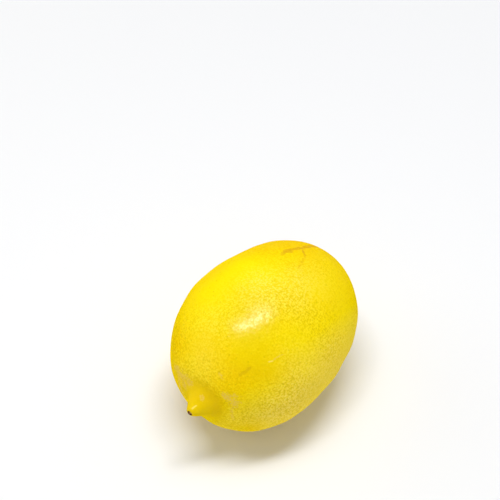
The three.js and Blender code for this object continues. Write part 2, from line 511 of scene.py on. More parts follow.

# %% [markdown]
# A ripe lemon is a deeper, more golden yellow at its ends. The same gold is also painted
# shade: on the side towards -X and below, and in patches near the top and left edges. The
# stem end's gold fades out towards the bright side, and a negative patch takes gold away on
# top. The skin is painted a deeper yellow under the lamp's brightest reflection, which keeps
# the yellow from washing out there, and beside the nipple. The furrow around the nipple's
# foot is painted darker, as painted shade, most where it is deepest.

# %% Golden skin and painted shade, and deeper skin
STEM_SIDE = (0, 1, 0)
STEM_GOLD = 0.7
STEM_GOLD_FROM = 0.25
BRIGHT_SIDE = (1, 0, 0)
BRIGHT_FROM = 0.6
PAINTED_SHADE_SIDE = (-0.85, -0.1, -0.5)
PAINTED_SHADE_AMOUNT = 1.6
PAINTED_SHADE_FROM = 0.3
PAINTED_SHADE_MOST = 0.5
# Most of these patches are painted shade near the fruit's edges; the negative one is on top.
GOLD_AND_SHADE_PATCHES = [
    (28, 40, 9, 0.5),
    (-29, 147, 7, 0.5),
    (18, 127, 7, 0.6),
    (0, 133, 7, 0.35),
    (-14, 139, 7, 0.35),
    (-31, -33, 7, 0.8),
    (-8, 108, 13, -0.55),
    (24, 105, 9, 0.8),
    (-36, 90, 14, 0.4),
    (-31, 55, 7, 0.6),
    (35, 93, 9, 0.5),
    (-26, 43, 8, 0.25),
]
GOLD_AND_SHADE_LEVEL = 0.35
GOLD_AND_SHADE_GAIN = 0.75
GOLD_AND_SHADE_WAVES = [(0.11, 19, 9)]
# Painted darker skin: the first patch lies under the lamp's bright reflection.
DEEPER_PATCHES = [(-15, 81, 11, 0.75), (-24, 58, 8, 0.4), (-32, -35, 6, 0.5)]
FURROW_BAND = (6.8, 2.2)
FURROW_LEVEL = 0.6
FURROW_BIAS = 0.4

gold_and_shade = STEM_GOLD * np.clip(towards(STEM_SIDE) - STEM_GOLD_FROM, 0, 1)
gold_and_shade = gold_and_shade * np.clip(BRIGHT_FROM - towards(BRIGHT_SIDE), 0, 1)
# Painted shade on the side towards -X and below.
painted_shade = PAINTED_SHADE_AMOUNT * np.clip(towards(PAINTED_SHADE_SIDE) - PAINTED_SHADE_FROM, 0, PAINTED_SHADE_MOST)
gold_and_shade += painted_shade + patches(GOLD_AND_SHADE_PATCHES)
gold_and_shade = GOLD_AND_SHADE_LEVEL + GOLD_AND_SHADE_GAIN * gold_and_shade + wave_sum(smooth_peel, GOLD_AND_SHADE_WAVES)
gold_and_shade = np.clip(gold_and_shade, 0, 1)
deeper = patches(DEEPER_PATCHES)
smooth_turn = np.arctan2(smooth_body[:, 2], smooth_body[:, 0])
# Painted shade in the furrow around the nipple's foot, most where it is deepest.
furrow = FURROW_LEVEL + FURROW_BIAS * np.cos(smooth_turn - COLLAR_DEEPEST)
furrow = np.where(at_blossom, band(smooth_r, *FURROW_BAND) * furrow, 0)
print("golden skin, on average:", average(gold_and_shade))

# %% [markdown]
# Handling polishes the wax. One well-rubbed patch on top takes the lamp's reflection, and
# the rest of the upper side shines a little. How much a point faces up is read from its
# outward direction, which the relief will need too.

# %% Polished skin
POLISHED_PATCH = [(-15, 81, 11, 1.0)]
UPPER_FROM = 0.45
UPPER_OVER = 0.3
UPPER_POLISH = 0.22
BARE_POLISH = 0.1


def normals_of(points, quads):
    """Outward direction at every point of a mesh of squares."""
    a, b, c, d = (points[quads[:, k]] for k in range(4))
    facing = np.cross(c - a, d - b)
    total = np.zeros_like(points)
    for k in range(4):
        np.add.at(total, quads[:, k], facing)
    return total / np.linalg.norm(total, axis=1, keepdims=True)


peel_normals = normals_of(smooth_peel, peel_quads)
upper = ramp(peel_normals[:, 2], UPPER_FROM, UPPER_OVER)
polish = np.maximum(patches(POLISHED_PATCH), UPPER_POLISH * upper) + BARE_POLISH * bare
print("polished skin, on average:", average(polish))

# %% [markdown]
# Branches and leaves rub the young fruit, and the rubbed skin heals to thin tan cork, a
# little raised. Lighter rubbing leaves wan skin, as in the broken ring around the nipple's
# foot, where it touched its neighbours. Fresh scratches are cream, and old dents are dark
# and a little sunk. A cream stroke on the nipple's tip is a painted glint, a painted highlight.
#
# Such marks lie where they lie, so each is a short path over the peel, named by its place on
# the long axis and its angle around it. A mark is kept as a number at every point of the
# mesh, its strength on the path and less beside it. Waves make its edge ragged.

# %% A mark along a path
RAGGED_WAVES = [(0.2, 2.2, 30)]

peel_along = smooth_peel[:, 1]
peel_around = np.arctan2(smooth_peel[:, 2], smooth_peel[:, 0])
ragged_edge = 1 + wave_sum(smooth_peel, RAGGED_WAVES)


def on_peel(along, around):
    """The point of the peel at a place on the long axis and an angle in degrees."""
    turn = (peel_around - math.radians(around) + math.pi) % (2 * math.pi) - math.pi
    return smooth_peel[np.argmin((peel_along - along) ** 2 + (RADIUS * turn) ** 2)]


def near_path(path, width):
    """1 on a path over the peel, falling to 0 about a width beside it."""
    places = [on_peel(along, around) for along, around in path]
    nearest = np.full(len(smooth_peel), np.inf)
    for start, end in zip(places, places[1:] or places):
        line = end - start
        share = (smooth_peel - start) @ line / max(line @ line, TINY)
        foot = start + np.clip(share, 0, 1)[:, None] * line
        nearest = np.minimum(nearest, np.linalg.norm(smooth_peel - foot, axis=1))
    return bell(nearest * ragged_edge, width)


def marks(rows):
    """The strongest of some marks at every point of the peel."""
    return np.max([strength * near_path(path, width) for strength, width, path in rows], axis=0)


# %% [markdown]
# Every mark has a strength, a width in millimetres, and its path as (along, around) pairs.
# A strength above 1 keeps a narrow mark solid to its edge.

# %% Marks on the skin
CORK_MARKS = [
    (0.8, 1.2, [(15.9, 97), (18.2, 98)]),
    (1.05, 1.35, [(18.2, 98), (19.9, 97), (22.5, 95.5), (24.8, 93.5)]),
    (1.0, 1.3, [(26.2, 93), (27.4, 93), (29.7, 93), (33.5, 92)]),
    (1.2, 0.55, [(24.1, 91), (22.9, 88), (21.7, 85)]),
    (0.55, 1.3, [(21.5, 84), (18.7, 82), (15.9, 81), (13.8, 80)]),
    (0.45, 1.3, [(13.0, 86), (14.1, 84)]),
]
WAN_MARKS = [
    (0.9, 0.8, [(24.9, 93), (25.4, 93)]),
    (0.9, 0.9, [(29.7, 92), (32.6, 92)]),
    (0.65, 0.4, [(-20.2, 47.5), (-18.5, 47), (-16.2, 46)]),
    (0.9, 1.7, [(-35.2, 46), (-34.7, 37), (-34.1, 29)]),
    (0.7, 1.4, [(-34.9, 25), (-33.4, 39)]),
    (1.25, 0.9, [(-38.1, 80)]),
    (0.95, 1.9, [(-34.1, 160), (-35.5, 142), (-36.1, 133)]),
    (0.9, 1.3, [(-33.0, 167), (-34.0, 152)]),
    (0.9, 1.6, [(-36.2, 168), (-36.1, 158)]),
    (0.6, 0.8, [(-33.2, 67), (-32.8, 72)]),
    (0.6, 1.0, [(-34.9, 24), (-35.3, 6), (-35.2, -12)]),
    (0.75, 1.4, [(-35.0, 166), (-35.3, 186), (-35.6, 204)]),
    (0.5, 0.9, [(-35.7, 212), (-35.9, 228)]),
    (0.35, 0.9, [(3.1, 83)]),
    (0.35, 0.9, [(6.9, 76)]),
]
SCRATCH_AND_GLINT_MARKS = [
    (1.0, 0.42, [(-21.2, 48.2), (-20.0, 47.4)]),
    # A painted highlight: a glint on the nipple's tip.
    (0.9, 0.42, [(-42.6, 88), (-41.9, 82), (-40.9, 77)]),
    (0.5, 0.35, [(-38.0, 81)]),
]
DARK_MARKS = [
    (0.85, 0.7, [(-29.7, 56), (-28.2, 55.5), (-26.5, 54.5)]),
    (0.8, 0.45, [(12.6, 46)]),
    (0.6, 0.45, [(-30.6, 45)]),
    (0.5, 0.45, [(-26.1, 71)]),
    (0.5, 0.45, [(-29.5, 73)]),
    (0.4, 0.7, [(-33.5, 71)]),
]
CORK_RISE = 0.05
DENT_DEPTH = 0.06
SEEN = 0.3  # a mark that is weaker than this hardly shows

cork, wan, dark = marks(CORK_MARKS), marks(WAN_MARKS), marks(DARK_MARKS)
scratch_and_glint = marks(SCRATCH_AND_GLINT_MARKS)
relief += CORK_RISE * cork - DENT_DEPTH * dark
print("marked points:", int((np.maximum(cork, wan) > SEEN).sum()))

# %% [markdown]
# A mesh is made straight from lists of points and faces. One helper does it for all three
# pieces: it takes millimetres, sets the map and the numbers that the finish reads, shades
# the faces smooth, hides the solid that it stands for, and ties the piece to the body.

# %% From numbers to a piece
def put(name, data):
    """A new object in the scene."""
    thing = bpy.data.objects.new(name, data)
    bpy.context.collection.objects.link(thing)
    return thing


def make_piece(name, points, faces, sheet, numbers, node):
    """A named piece of the lemon, from points in mm about the middle of the body."""
    mesh = bpy.data.meshes.new(name)
    mesh.from_pydata((points + body_middle) * MM, [], faces)
    mesh.polygons.foreach_set("use_smooth", np.ones(len(faces), dtype=bool))
    mesh.uv_layers.new(name="OFBake").uv.foreach_set("vector", np.ravel(sheet))
    for label, values in numbers.items():
        mesh.attributes.new(label, "FLOAT", "POINT").data.foreach_set("value", values)
    mesh.update()
    piece = put(name, mesh)
    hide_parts(node)
    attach(piece, "root")
    print(name, "has", len(points), "points")
    return piece


# %% [markdown]
# Now the peel. The relief moves every point along its outward direction. Whatever comes
# below the ground is laid flat on it: that is the small spot that the lemon rests on.

# %% The peel
peel_points = smooth_peel + relief[:, None] * peel_normals
peel_points[:, 2] = np.maximum(peel_points[:, 2], -body_middle[2])
skin_numbers = {
    "gland": gland,
    "coarse": coarse,
    "painted_reflection": painted_reflection,
    "painted_sheen": painted_sheen,
    "gold_and_shade": gold_and_shade,
    "polish": polish,
    "furrow": furrow,
    "deeper": deeper,
    "bare": bare,
    "cork": cork,
    "scratch_and_glint": scratch_and_glint,
    "wan": wan,
    "dark": dark,
}
peel = make_piece("peel", peel_points, peel_quads, peel_map, skin_numbers, "fruit")

# %% [markdown]
# The scar and the button are both thin lids that follow the skin under them. Both start as
# a flat closed disc of two skins: rings of points run from the middle of the top out to
# the rim, over the edge, and back to the middle of the underside. The map unrolls the same
# way, so that the middle of the top is the middle of the map.

# %% A closed disc
MAP_MIDDLE = 0.5
MAP_RADIUS = 0.49


def disc(rings, segments, outward):
    """share, angle and skin (1 above, 0 below) of the points, the faces, and their map."""
    share = np.concatenate([np.arange(1, rings + 1), np.arange(rings, 0, -1)]) / rings
    skin = np.repeat([1.0, 0.0], rings)
    angle = np.arange(segments) * 2 * math.pi / segments
    count = 2 * rings * segments
    faces, sheet = [], []

    def spot(ring, turn):
        radius = MAP_RADIUS * (ring + 1) / (2 * rings + 1)
        return MAP_MIDDLE + radius * math.cos(turn), MAP_MIDDLE + radius * math.sin(turn)

    for k in range(segments):
        after = (k + 1) % segments
        this, that = angle[k], angle[k] + angle[1]
        faces.append((count, k, after))
        sheet.append((spot(-1, this), spot(0, this), spot(0, that)))
        for ring in range(2 * rings - 1):
            low, high = ring * segments, (ring + 1) * segments
            faces.append((low + k, high + k, high + after, low + after))
            spots = spot(ring, this), spot(ring + 1, this), spot(ring + 1, that), spot(ring, that)
            sheet.append(spots)
        last = (2 * rings - 1) * segments
        faces.append((last + k, count + 1, last + after))
        middle = spot(2 * rings, (this + that) / 2)
        sheet.append((spot(2 * rings - 1, this), middle, spot(2 * rings - 1, that)))
    if outward > 0:
        faces = [face[::-1] for face in faces]
        sheet = [spots[::-1] for spots in sheet]
    share = np.append(np.repeat(share, segments), [0, 0])
    skin = np.append(np.repeat(skin, segments), [1, 0])
    angle = np.append(np.tile(angle, 2 * rings), [0, 0])
    return share, angle, skin, faces, [spot for spots in sheet for spot in spots]


# %% [markdown]
# The scar at the nipple's tip: a dark crusty rim around a paler dry middle. Its rim is
# rough and uneven, as a broken end is, and higher and darker on two sides. The crust thins
# out at its edge, which is sunk a hair into the skin. The lid's underside goes deeper, into
# the skin's own small pit.
#
# It could be sculpted. Heights that are added up are chosen here, because each one can be
# changed alone, and the scar still sits on the skin when the nipple's form changes.

# %% The style scar
SCAR_RINGS = 28
SCAR_SEGMENTS = 96
CRUST_RADIUS = 1.02
CRUST_LOBES = (0.07, 3, 0.4)  # height, crests around and turn, as in the next three
CRUST_NICKS = (0.05, 7, 2)
CRUST_PEAKS = (0.3, 2, 1)
CRUST_DARKEST = (0.35, 2, 1)
CRUST_BAND = (0.72, 0.20)
CRUST_HEIGHT = 0.30
CRUST_THICK = 0.05
CRUST_DARK = 0.85
CRUST_THINNER = 0.9
CRUST_THIN_POWER = 6
CRUST_CRUMBS = [(0.045, 0.42, 5), (0.02, 0.2, 6)]
SCAR_ROOT = 0.35
SCAR_SINK = 0.02


def swing(angle, height, crests, turn):
    """A wave that runs around a circle."""
    return height * np.cos(crests * angle + turn)


share, angle, skin, faces, sheet = disc(SCAR_RINGS, SCAR_SEGMENTS, outward=-1)
ragged = 1 + swing(angle, *CRUST_LOBES) + swing(angle, *CRUST_NICKS)
r = share * CRUST_RADIUS * ragged
level = -body_level(r, BLOSSOM_REACH, BLOSSOM_POWER)
scar_base = true_surface(ring_points(r, level, angle))
rim = band(r / ragged, *CRUST_BAND)
crust = CRUST_HEIGHT * rim * (1 + swing(angle, *CRUST_PEAKS))
crust = crust + wave_sum(scar_base, CRUST_CRUMBS) * (share < 1) + CRUST_THICK
crust = crust * (1 - CRUST_THINNER * share**CRUST_THIN_POWER)
scar_points = scar_base.copy()
scar_points[:, 1] -= np.where(skin > 0, crust, -SCAR_ROOT * (1 - share**2)) - SCAR_SINK
scar_numbers = {"rim": rim * (CRUST_DARK + swing(angle, *CRUST_DARKEST)), "edge": share}
scar = make_piece("style_scar", scar_points, faces, sheet, scar_numbers, "fruit")

# %% [markdown]
# The button: five woody lobes, which once were the sepals, with the cut end of the stalk
# in the middle. The lobes differ in length, and their edges are ragged. An outline could be
# drawn by hand, but waves that are read on the way round a circle close on themselves. The
# wider that circle is, the more often its edge swings.

# %% The button's outline
SEPALS = 5
BUTTON_RINGS = 64
BUTTON_SEGMENTS = 260
BUTTON_RADIUS = 3.9
LOBE_REACH = 0.75
LOBE_WALK = 2.2
LOBE_WAVES = [(0.16, 2.6, 11)]
EDGE_WALK = 6
EDGE_WAVES = [(0.05, 1.6, 12)]

share, angle, skin, faces, sheet = disc(BUTTON_RINGS, BUTTON_SEGMENTS, outward=1)
circle = np.stack([np.cos(angle), np.sin(angle), 0 * angle], axis=-1)
lobes = LOBE_REACH * np.cos(SEPALS * angle) + wave_sum(circle * LOBE_WALK, LOBE_WAVES)
lobes += wave_sum(circle * EDGE_WALK, EDGE_WAVES)
r = share * (BUTTON_RADIUS + lobes)
flat = ring_points(r, 0, angle)
print("button across, mm:", round(2 * r.max(), 1))

# %% [markdown]
# The blades are thin at their rim and thicker towards the stalk. Fibres and wrinkles run out
# along them, a crease parts each two lobes, and dry tips curl up. The stalk's cut face has a
# raised ring of wood around a softer core. All of it is added up as heights over the skin
# below, and the underside follows the curl of the tips.

# %% The stem button
LOBE_THICK = 0.55
BUTTON_THICK = 1.25
STALK_RADIUS = 1.55
STALK_HEIGHT = 1.3
STALK_POWER = 8
RING_HEIGHT = 0.16
RING_BAND = (1.05, 0.22)
CORE_DEPTH = 0.22
CORE_SPREAD = 0.5
FIBRE_HEIGHT = 0.11
FIBRE_WALK = 7
FIBRE_BEND = 0.25
FIBRE_WAVE = 2.0
FIBRE_BAND = (3.0, 1.6)
CREASE_DEPTH = 0.26
CREASE_WIDTH = 0.12
CREASE_BAND = (3.2, 1.3)
BUTTON_CRUMBS = [(0.045, 0.9, 14), (0.025, 0.35, 15)]
CURL_HEIGHT = 0.28
CURL_POWER = 5
CURL_UNEVEN = (0.5, 2, 0.6)
CURL_UNDER = 0.8
RIM_THINNER = 0.55
RIM_POWER = 10

under = body_level(r, STEM_REACH, STEM_POWER) + stem_relief(r, angle)
blade = LOBE_THICK + (BUTTON_THICK - LOBE_THICK) * (1 - share**2)
stalk = 1 / (1 + (r / STALK_RADIUS) ** STALK_POWER)
cut_ring = RING_HEIGHT * band(r, *RING_BAND) - CORE_DEPTH * bell(r, CORE_SPREAD)
fibres = waves(circle * FIBRE_WALK + flat * FIBRE_BEND, FIBRE_WAVE, seed=13)
fibres = fibres * band(r, *FIBRE_BAND)
creases = -CREASE_DEPTH * bell(np.sin(SEPALS * angle / 2), CREASE_WIDTH)
creases = creases * band(r, *CREASE_BAND)
crumbs = wave_sum(flat, BUTTON_CRUMBS)
top = blade + stalk * (STALK_HEIGHT + cut_ring) + FIBRE_HEIGHT * fibres + creases + crumbs
curl = CURL_HEIGHT * share**CURL_POWER * (1 + swing(angle, *CURL_UNEVEN))
upper_skin = top * (1 - RIM_THINNER * share**RIM_POWER) + curl
button_points = flat.copy()
button_points[:, 1] = under + np.where(skin > 0, upper_skin, curl * CURL_UNDER)
button_numbers = {"stalk": stalk, "lip": share, "fibre": fibres}
button = make_piece("button", button_points, faces, sheet, button_numbers, "stem_button")

# %% [markdown]
# Finishes are made of nodes, and written here as sums. A Wire is the end of a node's
# output. Adding or multiplying wires adds the Math nodes that do it, and wires that carry
# vectors use Vector Math instead. Any other node comes from add, which takes its kind, its
# settings, and what goes into its sockets.

# %% Nodes as sums
class Wire:
    """A node's output. A Wire with no socket only makes nodes."""

    def __init__(self, tree, socket=None):
        self.tree = tree
        self.socket = socket

    def add(self, kind, settings=None, sockets=None, output=0):
        """Makes a node, sets it up, fills its sockets, and returns one of its outputs."""
        node = self.tree.nodes.new(kind)
        for name, value in (settings or {}).items():
            setattr(node, name, value)
        for name, value in (sockets or {}).items():
            self.fill(node.inputs[name], value)
        return Wire(self.tree, node.outputs[output]) if node.outputs else node

    def fill(self, socket, value):
        """Links a wire to a socket, or sets a number, a vector or a colour on it."""
        if isinstance(value, Wire):
            self.tree.links.new(value.socket, socket)
        elif socket.type == "RGBA":
            socket.default_value = (*value, 1)
        elif socket.type == "VECTOR" and np.isscalar(value):
            socket.default_value = (value, value, value)
        else:
            socket.default_value = value

    def join(self, operation, first, second):
        """One step of a sum, on numbers or on vectors."""
        ends = [end for end in (first, second) if isinstance(end, Wire)]
        vectors = any(end.socket.type == "VECTOR" for end in ends)
        kind = "ShaderNodeVectorMath" if vectors else "ShaderNodeMath"
        return self.add(kind, {"operation": operation}, {0: first, 1: second})

    def __add__(self, other):
        return self.join("ADD", self, other)

    __radd__ = __add__

    def __sub__(self, other):
        return self.join("SUBTRACT", self, other)

    def __rsub__(self, other):
        return self.join("SUBTRACT", other, self)

    def __mul__(self, other):
        return self.join("MULTIPLY", self, other)

    __rmul__ = __mul__

    def rise(self, low, high):
        """0 below low and 1 above high, with a soft step between."""
        settings = {"interpolation_type": "SMOOTHSTEP"}
        ends = {"Value": self, "From Min": low, "From Max": high}
        return self.add("ShaderNodeMapRange", settings, ends)

    def noise(self, place, size, detail=2.0, rough=0.5):
        """Cloudy noise from 0 to 1, with lumps about this size in mm."""
        sockets = {"Vector": place, "Scale": 1 / size, "Detail": detail, "Roughness": rough}
        return self.add("ShaderNodeTexNoise", None, sockets, "Fac")

    def cells(self, place, pitch, shake):
        """Distance from the nearest of scattered points, about a pitch in mm apart."""
        sockets = {"Vector": place, "Scale": 1 / pitch, "Randomness": shake}
        return self.add("ShaderNodeTexVoronoi", None, sockets, "Distance")

    def blend(self, first, second, factor):
        """One colour painted over another, as far as factor says."""
        settings = {"data_type": "RGBA"}
        return self.add("ShaderNodeMix", settings, {0: factor, 6: first, 7: second}, 2)

    def number(self, name):
        """A number that the mesh holds at every point."""
        return self.add("ShaderNodeAttribute", {"attribute_name": name}, None, "Fac")


# %% [markdown]
# Every finish starts and ends alike. It starts with an empty material and the place on the
# lemon in millimetres, so that sizes in a finish are real sizes. It ends with a Principled
# surface whose bump has a height in millimetres too, and is put on its mesh.

# %% Begin and end a finish
def begin(name):
    """A new empty material, as its first Wire, and the place on the lemon in mm."""
    material = bpy.data.materials.new(name)
    material.use_nodes = True
    material.node_tree.nodes.clear()
    bench = Wire(material.node_tree)
    place = bench.add("ShaderNodeTexCoord", None, None, "Object") * (1 / MM)
    return material, bench, place


def close(material, bench, sockets, height, mesh):
    """Ends a material with a surface and a bump whose height is in mm, and puts it on a mesh."""
    bump = bench.add("ShaderNodeBump", None, {"Height": height, "Distance": MM})
    surface = bench.add("ShaderNodeBsdfPrincipled", None, {**sockets, "Normal": bump})
    bench.add("ShaderNodeOutputMaterial", None, {"Surface": surface})
    mesh.materials.append(material)
    print(material.name, "finish has", len(material.node_tree.nodes), "nodes")


# %% [markdown]
# Lemon peel has pebbles under a millimetre wide, with pale tops and a deeper ground between
# them: the pale tops are partly painted sheen, and the deeper ground partly painted shade.
# Fine pores, about 2 mm apart, are small round dark pits, painted darker partly as shade. In
# the mesh they would take millions of points, so they are patterns in the finish. A pattern
# of cells gives low round domes, which noise makes uneven. The middles of a second, wider
# pattern are the pores. The nipple is smooth, so there the pores end and the pebbles fade.
# Two cloudy noises break up whatever is laid over the skin.

# %% Pebbles and pores
PEBBLE_SIZE = 0.57
PEBBLE_NOISE = 0.68
PEBBLE_LEVEL = 0.38
DOME_PITCH = 0.8
DOME_SHAKE = 0.9
DOME_HEIGHT = 0.44
PALE_RISE = (0.50, 0.66)
DEEP_RISE = (0.34, 0.50)
PORE_PITCH = 2.1
PORE_SHAKE = 1.0
PORE_EDGE = (0.07, 0.24)
PIT_RISE = (0.15, 1.0)
PATCH_SIZE = 0.9
CRUMBLE_SIZE = 0.55

peel_paint, bench, place = begin("peel")
bare_skin = bench.number("bare")
coarse_skin = bench.number("coarse")
polished = bench.number("polish")
painted_reflection_mask = bench.number("painted_reflection")
pits = bench.number("gland").rise(*PIT_RISE)

dome = bench.cells(place, DOME_PITCH, DOME_SHAKE)
pebble = bench.noise(place, PEBBLE_SIZE, detail=1) * PEBBLE_NOISE + PEBBLE_LEVEL - dome * DOME_HEIGHT
# Pale pebble tops are partly painted sheen, and the deep ground partly painted shade.
pale = pebble.rise(*PALE_RISE) * coarse_skin
deep = (1 - pebble.rise(*DEEP_RISE)) * coarse_skin
pore = 1 - bench.cells(place, PORE_PITCH, PORE_SHAKE).rise(*PORE_EDGE)
pore = pore * (1 - bare_skin)
patchy = bench.noise(place, PATCH_SIZE, detail=3, rough=0.6)
crumble = bench.noise(place, CRUMBLE_SIZE, detail=3, rough=0.65)
print("pebbles, mm:", DOME_PITCH, "pores, mm:", PORE_PITCH, "apart")

# %% [markdown]
# The skin's colour is clean and warm, never green: a strong red, about four fifths as much
# green, and almost no blue. It could be one painted picture, but then it would blur close
# up. Here it is built in thin layers, each a colour and how far it covers what is under it,
# so any layer can be changed alone. Golden skin with painted shade, the painted reflection
# and the painted deeper yellow come first, then the pale pebble tops, partly painted sheen,
# and the painted sheen on top, and then what is darker: the honey-coloured ground and the
# pits and pores, partly painted shade, the nipple's amber and the furrow's painted shade.

# %% Colours of the skin
LEMON = (0.94, 0.755, 0.0005)
# Golden skin, and the painted shade on one side and near the edges.
GOLD_AND_SHADE_TONE = (0.90, 0.585, 0.0005)
# Painted reflection: the pale tone of the flank that faces the floor.
REFLECTION_TONE = (0.95, 0.70, 0.050)
# Painted darker yellow, most under the lamp's bright reflection.
DEEP = (0.80, 0.60, 0.0005)
# Pale pebble tops, partly painted sheen.
LIGHT = (1.0, 0.80, 0.011)
# Pale pebbles within the painted reflection.
PALE_REFLECTION_TONE = (1.0, 0.79, 0.155)
PALE_COVER = 0.9
# Painted sheen of the lamps around the bright reflection.
SHEEN_TONE = (1.0, 0.88, 0.40)
SHEEN_RISE = (0.44, 0.63)
SHEEN_COVER = 0.10
SHEEN_LEAST = 0.028
# The ground between pebbles and the gland pits, partly painted shade.
HONEY = (0.62, 0.43, 0.001)
GROUND_COVER = 0.58
GLAND_COVER = 0.08
# Pores, partly painted shade, and darker still under the bright reflection.
PIT = (0.56, 0.42, 0.003)
PORE_COVER = 0.26
PORE_POLISHED = 0.16
AMBER = (0.80, 0.56, 0.001)
AMBER_COVER = 0.35
AMBER_PATCHY = 0.8
BROWN = (0.64, 0.38, 0.004)
FURROW_COVER = 0.04
FURROW_PATCHY = 0.36

skin_layers = [  # colour, and how far it covers
    # Golden skin, partly painted shade.
    (GOLD_AND_SHADE_TONE, bench.number("gold_and_shade")),
    # Painted reflection on the flank that faces the floor.
    (REFLECTION_TONE, painted_reflection_mask),
    # Painted darker yellow, most under the lamp's bright reflection.
    (DEEP, bench.number("deeper")),
    # Pale pebble tops, partly painted sheen.
    (bench.blend(LIGHT, PALE_REFLECTION_TONE, painted_reflection_mask), pale * PALE_COVER),
    # Painted sheen around the lamp's bright reflection.
    (SHEEN_TONE, (pebble.rise(*SHEEN_RISE) * SHEEN_COVER + SHEEN_LEAST) * bench.number("painted_sheen")),
    # Deeper ground between pebbles and gland pits, partly painted shade.
    (HONEY, deep * GROUND_COVER),
    (HONEY, pits * GLAND_COVER),
    # Pores, partly painted shade.
    (PIT, pore * (PORE_COVER + polished * PORE_POLISHED)),
    (AMBER, bare_skin * (AMBER_COVER + patchy * AMBER_PATCHY)),
    # Painted shade in the furrow around the nipple's foot.
    (BROWN, bench.number("furrow") * (FURROW_COVER + patchy * FURROW_PATCHY)),
]

# %% [markdown]
# The rubbed marks, and the painted glint, lie on top. An even edge would look printed on, so
# crumbly noise eats into each mark, as cork flakes off, and a soft step then turns what is
# left into a clear shape. Wan skin is eaten away the most, and the scratches and the painted
# glint aren't at all.

# %% Colours of the marks
WAN = (0.84, 0.57, 0.09)
WAN_FLAKES = 5
WAN_LOSS = 1.55
WAN_COVER = 0.75
CORK = (0.70, 0.37, 0.010)
CORK_FLAKES = 2.2
CORK_LOSS = 0.2
CORK_COVER = 0.85
MARK_EDGE = (0.25, 0.95)
# Cream for the scratches and for the painted glint on the nipple's tip.
CREAM_AND_GLINT = (1.0, 0.80, 0.14)
SCRATCH_AND_GLINT_EDGE = (0.3, 0.9)
SCRATCH_AND_GLINT_COVER = 0.8
SPOT_LEVEL = 0.5
SPOT_EDGE = (0.22, 0.8)
SPOT_COVER = 0.45

wan = (bench.number("wan") * (crumble * WAN_FLAKES - WAN_LOSS)).rise(*MARK_EDGE)
cork = (bench.number("cork") * (crumble * CORK_FLAKES - CORK_LOSS)).rise(*MARK_EDGE)
spot = (bench.number("dark") * (patchy + SPOT_LEVEL)).rise(*SPOT_EDGE)
mark_layers = [
    (WAN, wan * WAN_COVER),
    (CORK, cork * CORK_COVER),
    # Scratches, and the painted glint on the nipple's tip.
    (CREAM_AND_GLINT, bench.number("scratch_and_glint").rise(*SCRATCH_AND_GLINT_EDGE) * SCRATCH_AND_GLINT_COVER),
    (BROWN, spot * SPOT_COVER),
]
tone = LEMON
for colour, cover in skin_layers + mark_layers:
    tone = bench.blend(tone, colour, cover)
print("colour layers:", len(skin_layers + mark_layers))

# %% [markdown]
# The bump is the pebbles, higher where the skin is coarse, with pores cut in, and a little
# lump and grain. Bare skin is flatter, and so is polished skin, where wax fills it.

# %% Peel relief
LUMP_SIZE = 2.2
LUMPS = 0.006
COARSE_PEBBLES = 0.27
PEBBLES = 0.09
PORE_DEPTH = 0.06
GRAIN_SIZE = 0.35
GRAIN = 0.01
BARE_FLATTER = 0.75
POLISHED_FLATTER = 0.52

grain = bench.noise(place, GRAIN_SIZE)
height = bench.noise(place, LUMP_SIZE) * LUMPS
height = height + pebble * (coarse_skin * COARSE_PEBBLES + PEBBLES)
height = (height - pore * PORE_DEPTH + grain * GRAIN) * (1 - bare_skin * BARE_FLATTER)
height = height * (1 - polished * POLISHED_FLATTER)
print("pebbles in the bump, mm high: at most", round(COARSE_PEBBLES + PEBBLES, 2))

# %% [markdown]
# The wax is a clear coat over the skin. An even gloss would turn the whole lemon pale, so
# the coat is thin and reflects strongly: the yellow stays full, and the bright spot is
# still clear. Polish thickens it, pores and cork break it, and pebbles and patches make it
# uneven. The skin under it has no reflection of its own. A little light goes into the skin
# and comes out warmer.

# %% Peel wax
WAX = 0.03
WAX_LEAST = 0.2
WAX_POLISHED = 3.7
PORE_BREAK = 0.9
CORK_BREAK = 0.7
PEBBLE_SHINE = (0.38, 0.62)
PEBBLE_LEAST = 0.6
PEBBLE_GAIN = 0.75
PATCH_SHINE = (0.3, 0.7)
PATCH_LEAST = 0.8
PATCH_GAIN = 0.4
SKIN_ROUGH = 0.22
PATCHY_ROUGH = 0.08
CORK_ROUGH = 0.20
PORE_ROUGH = 0.05

wax = WAX * (WAX_LEAST + WAX_POLISHED * polished)
wax = wax * (1 - pore * PORE_BREAK) * (1 - cork * CORK_BREAK)
wax = wax * (PEBBLE_LEAST + pebble.rise(*PEBBLE_SHINE) * PEBBLE_GAIN)
wax = wax * (PATCH_LEAST + patchy.rise(*PATCH_SHINE) * PATCH_GAIN)
skin_sockets = {
    "Base Color": tone,
    "Roughness": SKIN_ROUGH + patchy * PATCHY_ROUGH + cork * CORK_ROUGH + pore * PORE_ROUGH,
    "Specular IOR Level": 0.0,
    "Subsurface Weight": 0.08,
    "Subsurface Radius": (1.0, 0.55, 0.1),
    "Subsurface Scale": 0.0015,
    "Coat Weight": wax,
    "Coat IOR": 2.8,
    "Coat Roughness": 0.24,
}
close(peel_paint, bench, skin_sockets, height, peel.data)

# %% [markdown]
# Both dry pieces are dead plant fibre, matt and speckled. The scar is nearly black-brown at
# its rim and paler inside, and its edge takes the colour of the skin around it. The colours
# follow numbers that the mesh holds, so the dark always lies on the raised rim.

